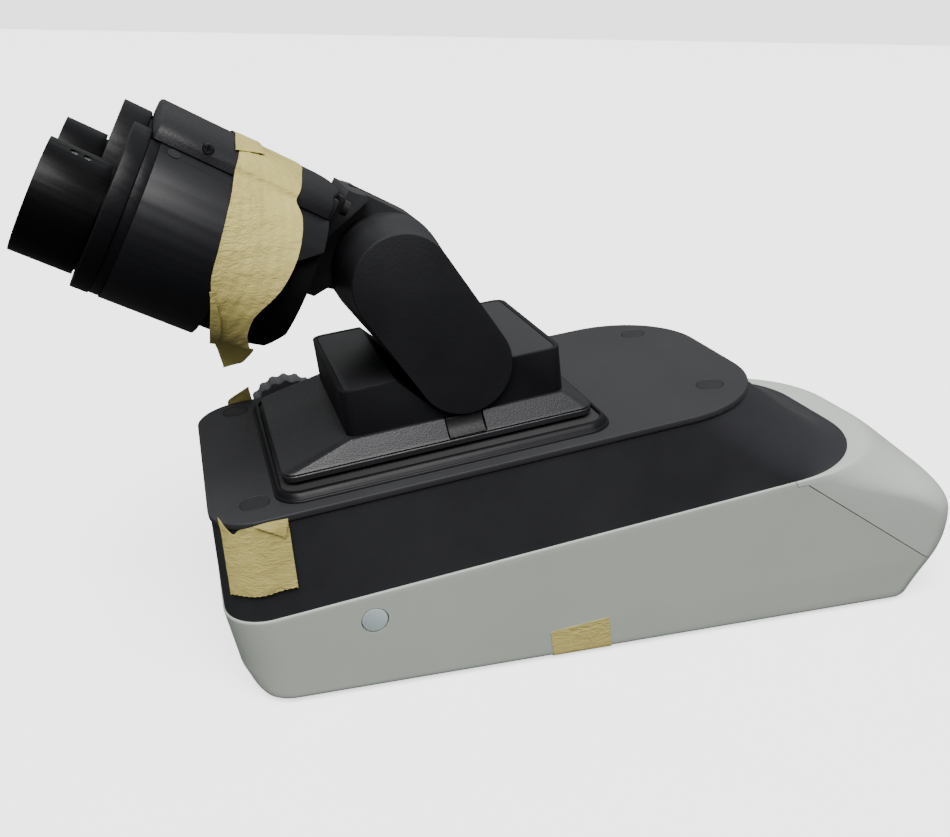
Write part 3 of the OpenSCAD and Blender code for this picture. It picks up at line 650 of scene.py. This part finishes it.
def collar_sweep():
    """The raised frame, a little narrower across its ends than along its sides."""
    rings = []
    for i, z in COLLAR_PROFILE:
        end = i * 2.7 / COLLAR_WIDTH
        side = i * 4.3 / COLLAR_WIDTH
        r = 10 - 0.75 * i
        rings.append(level(outline(22.5 + end, 144.5 - end, 99 - 2 * side, r, r), z))
    return loft(rings, closed=True)


collar = link_mesh("collar_sweep", collar_sweep())
dress(place(collar, console), "base", "collar_black", ["collar"], angle=40)


# ---- Pedestal with its lock tab ----

SKIRT_X = (26.5, 140)
SKIRT_WIDTH = 79
TAB_X = (85.6, 98.8)
TAB_GAP = 0.5
# (inset, height) up the skirt's rim, with a groove round it
RIM_STEPS = ((0.4, 2.9), (0, 3.2), (0, 4.9), (0.25, 5.2), (0.9, 5.2), (0.9, 5.6),
             (0.25, 5.6), (0, 5.85), (0.25, 6.15))
# (y, height) down the tab's ramp and back under it
TAB_PROFILE = [(-35.75, 12.15), (-35.95, 11), (-36.6, 9.4), (-37.7, 7.9), (-39.1, 6.8),
               (-39.9, 6.25), (-33.5, 6.25), (-33.5, 12.15)]


def pedestal_loft():
    """A core that goes down through the collar, the skirt's rim, and its sloping facets."""
    def ring(x0, x1, w, r, z):
        return level(outline(x0, x1, w, r, r), z)
    x0, x1 = SKIRT_X
    rings = [ring(58, 118, 44, 5, -12), ring(58, 118, 44, 5, 2.9)]
    rings += [ring(x0 + i, x1 - i, SKIRT_WIDTH - 2 * i, 5 - i, z) for i, z in RIM_STEPS]
    for t in (0.1, 0.3, 0.5, 0.7, 0.9, 1):
        rings.append(ring(26.75 + 22.75 * t, 139.75 - 7.95 * t, 78.5 - 7.5 * t, 4.6 - 1.4 * t,
                          6.15 + 6.05 * t))
    return loft(rings, caps=(True, True))


def end_prism(points, x0, x1):
    """A profile in y and z, extruded from x0 to x1."""
    return loft([[(x, y, z) for y, z in points] for x in (x0, x1)], caps=(True, True))


pedestal = link_mesh("pedestal_loft", pedestal_loft())
tab_notch = end_prism([(-50, 5.9), (-50, 16), (-33.4, 16), (-33.4, 5.9)],
                      TAB_X[0] - TAB_GAP, TAB_X[1] + TAB_GAP)
combine(pedestal, [tab_notch])
dress(place(pedestal, console), "lift", "skirt_black", ["pedestal"], angle=30)
tab = link_mesh("tab_ramp", end_prism(TAB_PROFILE, *TAB_X))
dress(place(tab, console), "lift", "tab_black", ["lock_tab"], 0.25)


# ---- Arm: two stadium cheeks joined by a web ----

CHEEK_R = 17.2
PIVOT_HOLE_R = 8.02


def stadium(r1, r2, y, n=28):
    """Outline round the lower pivot (radius r1) and the upper pivot (radius r2)."""
    s = math.degrees(math.asin((r2 - r1) / ARM_L))
    pts = []
    for cz, r, a0, a1 in ((0, r1, 180 + s, 360 - s), (ARM_L, r2, -s, 180 + s)):
        for i in range(n + 1):
            a = math.radians(a0 + (a1 - a0) * i / n)
            pts.append((r * math.cos(a), y, cz + r * math.sin(a)))
    return pts


def cheek(side):
    """One side of the arm, from its textured face inwards, widening towards the web."""
    face = [(37, 0.55), (36.9, 0.2), (36.6, 0), (34.7, 0)]
    rings = [stadium(CHEEK_R - d, CHEEK_R - d, side * y) for y, d in face]
    for i in range(1, 13):
        t = i / 12
        grow = smoothstep(t)
        rings.append(stadium(CHEEK_R + 0.5 * grow, CHEEK_R + 2.4 * grow, side * (34.7 - 23.8 * t)))
    rings.append(stadium(17.3, 19.2, side * 10.5))
    mesh = loft(rings, caps=(True, True))
    obj = link_mesh("arm_cheek_near" if side < 0 else "arm_cheek_far", mesh)
    combine(obj, [prism(disc(0, z, PIVOT_HOLE_R), *side_span(side, 10, 33)) for z in (0, ARM_L)])
    return place(obj, arm)


for side in (-1, 1):
    dress(cheek(side), "arm", "arm_cover", ["arm_covers"], angle=35)
web = link_mesh("arm_web", prism(rectangle(-9, 15, 14.4, 16.6), -11.2, 11.2))
dress(place(web, arm), "arm", "arm_black", ["arm_frame"], 0.4)


# ---- Head: the crowned saddle and the neck behind it ----

SADDLE_X = (6.0, 61.5)
SADDLE_HALF = 39.0
SADDLE_Z = 30.0
CROWN = 7.8
CAVITY_HALF = 36.3
BOW = 6.0           # how far the rear end bulges in its middle
BOW_HALF = 31
SCREW_HOLE_R = 1.78
SCREW_R = 1.48
side_screw = centre_of("saddle_screws", head)


def saddle_top(y):
    """Height of the crowned saddle over the line y."""
    return SADDLE_Z + CROWN * max(0.0, 1 - abs(y / SADDLE_HALF) ** 4) ** (1 / 3)


def saddle_body():
    """The crowned housing, hollow below, with a screw hole in each side."""
    turns = (-90, -84, -78, -71, -64, -56, -47, -37, -25, -12)
    ys = [SADDLE_HALF * math.sin(math.radians(a)) for a in turns]
    ys = ys + [0] + [-y for y in reversed(ys)]
    front, rear = SADDLE_X
    rings = []
    for x, shrink, bow in ((front, 0.9, 0), (front + 0.3, 0.35, 0), (front + 0.9, 0, 0), (20, 0, 0),
                           (34, 0, 0), (48, 0, 0), (rear - 0.9, 0, BOW), (rear - 0.3, 0.35, BOW),
                           (rear, 0.9, BOW)):
        k = 1 - shrink / SADDLE_HALF
        rings.append([(x + bow * max(0, 1 - (y / BOW_HALF) ** 2), y * k, saddle_top(y) - shrink)
                      if abs(y) < SADDLE_HALF else (x, y * k, SADDLE_Z) for y in ys])
    obj = link_mesh("saddle_crowned", loft(rings, caps=(True, True)))
    hole = disc(side_screw.x, side_screw.z, SCREW_HOLE_R)
    cavity = prism(rectangle(9, 58.5, 29, 34.4), -CAVITY_HALF, CAVITY_HALF)
    return combine(obj, [cavity] + [prism(hole, *side_span(side, 36.6, 45)) for side in (-1, 1)])


dress(place(saddle_body(), head), "head", "saddle_black", ["saddle"], angle=40)


def saddle_screw(side):
    """A pan head with a cross recess, set just inside the saddle's side."""
    x, z = side_screw.x, side_screw.z
    obj = link_mesh("saddle_screw_near" if side < 0 else "saddle_screw_far",
                    prism(disc(x, z, SCREW_R), *side_span(side, 36.75, 37.7)))
    bars = [prism(rectangle(x - a, x + a, z - b, z + b), *side_span(side, 37.1, 40))
            for a, b in ((0.98, 0.2), (0.2, 0.98))]
    return combine(obj, bars)


for side in (-1, 1):
    dress(place(saddle_screw(side), head), "head", "screw_black", ["saddle_screws"], 0.2)


def neck_block():
    """The neck's CAD shape with a stepped top, and hollows beside its middle block."""
    obj = place(link_mesh("neck_block", cleaned("neck")), head.inverted())
    flanks = ((15, 50), (-50, -15))
    hollows = [prism(rectangle(63.5, 84, -5, 60), *flank) for flank in flanks]
    shoulders = [prism(rectangle(50, 63.6, 35.8, 60), *flank) for flank in flanks]
    step = prism(rectangle(50, 68.4, 36.4, 60), -15.1, 15.1)
    slope = prism([(60, 39.3), (70.5, 39.3), (75, 40.1), (75, 60), (60, 60)], -50, 50)
    return combine(obj, hollows + shoulders + [step, slope])


dress(place(neck_block(), head), "head", "neck_black", ["neck"], 0.45)


# ---- Tape: thin crepe strips with creases ----

TAPE_T = 0.16


def strip(name, grid, matrix, body, node, ripple, sub, outward=1):
    """A tape strip through a grid of points in mm, refined, rippled and given its thickness.

    The strip grows along its faces' normals, or against them where outward is -1.
    """
    bm = bmesh.new()
    rows = [[bm.verts.new(p) for p in line] for line in grid]
    for low, high in zip(rows, rows[1:]):
        for i in range(1, len(low)):
            bm.faces.new((low[i - 1], low[i], high[i], high[i - 1]))
    mesh = bpy.data.meshes.new(name)
    bm.to_mesh(mesh)
    bm.free()
    obj = link_mesh(name, mesh)
    mod = obj.modifiers.new("smooth", "SUBSURF")
    mod.levels = mod.render_levels = sub
    mod.boundary_smooth = "PRESERVE_CORNERS"
    baked(obj)
    if ripple:
        mesh = obj.data
        phase = [rng.uniform(0, 6.28) for _ in range(6)]
        for vert in mesh.vertices:
            x, y, z = vert.co
            wave = (math.sin(x * 0.9 + z * 0.35 + phase[0])
                    + math.sin(z * 0.8 - x * 0.5 + phase[1])
                    + 0.7 * math.sin(x * 1.9 + y * 0.6 + phase[2])
                    + 0.5 * math.sin(z * 2.3 + y + phase[3]))
            vert.co += vert.normal * ripple * outward * (0.7 + 0.2 * wave)
    mod = obj.modifiers.new("paper", "SOLIDIFY")
    mod.thickness = TAPE_T
    mod.offset = outward
    baked(obj)
    return dress(place(obj, matrix), body, "tape", [node], angle=50)


def row_between(a, b, n=8):
    return [tuple(Vector(a).lerp(Vector(b), i / n)) for i in range(n + 1)]


RING_Z = 5.25       # height of the axis that the strip follows round the near barrel
REACH = 26.25       # the strip's radius round that axis
# (angle, front edge, rear edge, lift) down the near barrel
BARREL_ARC = [(60, 30.2, 52.2, 0.5), (50, 30.6, 53.1, 0.1), (40, 30.9, 53.8, 0),
              (28, 31.4, 54.3, 0), (16, 32.0, 54.0, 0), (4, 32.7, 53.2, 0), (-6, 33.2, 51.6, 0.1),
              (-14, 34.9, 49.9, 0.2), (-22, 36.6, 49.2, 0.3), (-30, 38.0, 49.7, 0.3),
              (-38, 39.3, 50.7, 0.4), (-46, 40.7, 53.0, 0.6), (-54, 42.2, 54.8, 0.8)]
# the two edges where the strip leaves the saddle, and where it hangs free below the barrel
SADDLE_EDGE = [((29.6, -39.2, 33.0), (49.6, -39.2, 33.0)),
               ((29.8, -39.4, 31.4), (49.4, -39.4, 31.4)),
               ((30.0, -40.6, 30.0), (50.0, -40.6, 30.0))]
TAIL = [((43.4, -39.5, -18.6), (56.0, -41, -15.8)), ((45.5, -36.5, -20.6), (56.9, -38.5, -17.6)),
        ((48.5, -34, -24.2), (56.6, -36, -20.6)), ((51.4, -32.5, -28.0), (55.6, -34.5, -23.8))]
# (y on the front edge, y on the rear edge) of the flap that lies over the strip
FLAP = [(36, 36), (33, 33), (26, 26), (16, 17), (6, 8), (-4, 0), (-13, -7), (-20, -12), (-26, -16),
        (-31, -20), (-33.5, -22.5)]
FOLD_ARC = [(-14, 34.6, 35.2, 1.0), (-22, 36.3, 38.6, 1.2), (-31, 38.0, 41.4, 1.3),
            (-40, 39.4, 42.8, 1.5), (-49, 41.0, 43.8, 1.7)]


def on_barrel(angle, x, lift):
    a = math.radians(angle)
    r = REACH + lift
    return (x, -PUPIL - r * math.cos(a), RING_Z + r * math.sin(a))


def barrel_rows(arc, n):
    return [[on_barrel(a, xl + (xr - xl) * i / n, lift) for i in range(n + 1)]
            for a, xl, xr, lift in arc]


def head_strip():
    """Over the saddle, down its side, round the near barrel and off its underside."""
    grid = []
    for y in (36.5, 34, 29, 20, 8, -6, -18, -27, -33, -36.2, -38.0):
        turn = smoothstep((y + 38) / 60)
        z = saddle_top(y) + 0.1
        grid.append(row_between((29.7 + 2.4 * turn, y, z), (49.9 + 6.4 * turn, y, z)))
    grid += [row_between(a, b) for a, b in SADDLE_EDGE]
    grid += barrel_rows(BARREL_ARC, 8)
    grid += [row_between(a, b) for a, b in TAIL]
    return grid


tape = strip("head_tape_strip", head_strip(), head, None, "head_tape", 0.25, 3, -1)
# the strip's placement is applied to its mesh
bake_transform(tape)

flap = [row_between((28.4 + 3 * smoothstep((front + 30) / 50), front, saddle_top(front) + 0.5),
                    (37.8 + 2.6 * smoothstep((rear + 30) / 50), rear, saddle_top(rear) + 0.8), 5)
        for front, rear in FLAP]
strip("head_tape_flap", flap, head, "head", "head_tape", 0.15, 3, -1)
fold = barrel_rows(FOLD_ARC, 6)
fold.append(row_between((43.0, -40.3, -20.0), (45.6, -40.6, -19.2), 6))
strip("head_tape_fold", fold, head, "barrel_near", "head_tape", 0.1, 3, -1)


def corner_path(s, z, lift):
    """A point on the console's near front corner: s runs forward from the corner's start."""
    v = max(0, z / SEAM_Z)
    x0 = CORNER_R - FLARE * v
    r = CORNER_R + lift
    y0 = CORNER_R - WIDTH / 2
    if s < 0:
        return (x0 - s, y0 - r, z)
    a = s / CORNER_R
    return (x0 - r * math.sin(a), y0 - r * math.cos(a), z)


def torn_edge(u):
    """How far the front strip's top edge wanders, from the side (u = 0) to the front (u = 1)."""
    notch = 2.4 * math.exp(-((u - 0.8) / 0.07) ** 2)
    return 1.2 * math.sin(u * 7) * u - notch + 2.2 * smoothstep((u - 0.9) / 0.1)


def front_strip():
    across, down = 26, 18
    right_top, right_low, left = -8.0, -8.6, 15.0
    tooth = 0.8
    grid = []
    for j in range(down + 1):
        t = j / down
        line = []
        for i in range(across + 1):
            u = i / across
            s = (right_top + (right_low - right_top) * t) * (1 - u) + left * u
            top = -0.9 + torn_edge(u)
            low = -27.6 + (tooth if i % 2 and i < across else 0) + 0.25 * math.sin(u * 9)
            z = top + (low - top) * t
            line.append(corner_path(s, z, 0.5 if z > -2.6 else 0.25))
        grid.append(line)
    return grid


strip("front_tape_strip", front_strip(), console, "base", "front_tape", 0.12, 1)
# (s, height, lift) at the two ends of each row of the turned corner
TURNED = [((-8.0, -0.7, 1.0), (3.0, -0.9, 1.0)), ((-7.6, -3.0, 1.3), (-0.5, -3.2, 1.2)),
          ((-7.0, -5.5, 1.2), (-4.2, -5.3, 1.1)), ((-6.5, -7.6, 0.8), (-6.1, -7.5, 0.8))]
turned = [row_between(corner_path(*a), corner_path(*b), 6) for a, b in TURNED]
strip("front_tape_turned", turned, console, "base", "front_tape", 0.1, 2)


def low_strip():
    """The strip on the near side that wraps under the floor edge."""
    side_end, turn_end = 0.55, 0.7      # shares of its length: up the side, and round the edge
    grid = []
    for j in range(15):
        t = j / 14
        line = []
        for i in range(9):
            x = 110.2 + 23.8 * i / 8 + 0.6 * t
            edge = floor_depth(x)
            if t < side_end:
                z = -74.2 + (x - 110) * -0.03 + (edge + 1.3 + 74.2) * t / side_end
                line.append((x, -55.22, z))
            elif t < turn_end:
                a = math.radians(90 * (t - side_end) / 0.15)
                line.append((x, -53.9 - 1.32 * math.cos(a), edge + 1.2 - 1.4 * math.sin(a)))
            else:
                line.append((x, -53.9 + 17 * (t - turn_end) / 0.3, edge - 0.2))
        grid.append(line)
    return grid


def corner_strip():
    """The strip on the far front corner, whose top end stands up from the plate."""
    grid = []
    for i in range(7):
        x = 13.2 + 10.4 * i / 6
        grid.append([(x, 55.5, -20), (x, 55.5, -10), (x, 55.7, -0.5),
                     (13.4 + 9.8 * i / 6, 55.8 + 0.3 * math.sin(i), 0.8 + 1.1 * i / 6),
                     (14.2 + 9.0 * i / 6, 56.0, 1.6 + 3.9 * i / 6)])
    return grid


strip("bottom_tape_strip", low_strip(), console, "base", "bottom_tape", 0.0, 1, -1)
strip("corner_tape_strip", corner_strip(), console, "base", "corner_tape", 0.15, 2)


# ---- The other pieces: softened copies of their nodes ----

# node: width of its softened edges in mm
SOFTENED = {
    "top_plate": 0.45, "plate_plugs": 0.2, "pivot_block": 0.6, "block_caps": 0.2,
    "near_barrel": 0.4, "far_barrel": 0.4, "near_ring": 0.3, "far_ring": 0.3, "near_band": 0.2,
    "far_band": 0.2, "near_hood": 0.35, "far_hood": 0.35, "side_knob": 0.5, "power_button": 0.3,
    "near_rear_body": 0.5, "far_rear_body": 0.5,
}
for node, width in SOFTENED.items():
    soften(node, width)

# the nodes that still show keep their shape and get a better material
for node, obj in frame["nodes"].items():
    if not obj.hide_render:
        slot = "screw_black" if node == "neck_screws" else slot_of[node]
        for material_slot in obj.material_slots:
            material_slot.material = MATERIALS[slot]

add_camera()
add_light()
bpy.ops.mesh.primitive_plane_add(size=FLOOR_SIZE)
floor = bpy.context.object
floor.name = "floor"
floor.visible_diffuse = False
floor.visible_glossy = False
paper = surface("floor_paper", (0.93, 0.93, 0.93), 0.7, 500, 0.02, 0.01)
paper_shader = paper.node_tree.nodes["Principled BSDF"]
paper_shader.inputs["Emission Color"].default_value = (1, 1, 1, 1)
paper_shader.inputs["Emission Strength"].default_value = FLOOR_GLOW
floor.data.materials.append(paper)
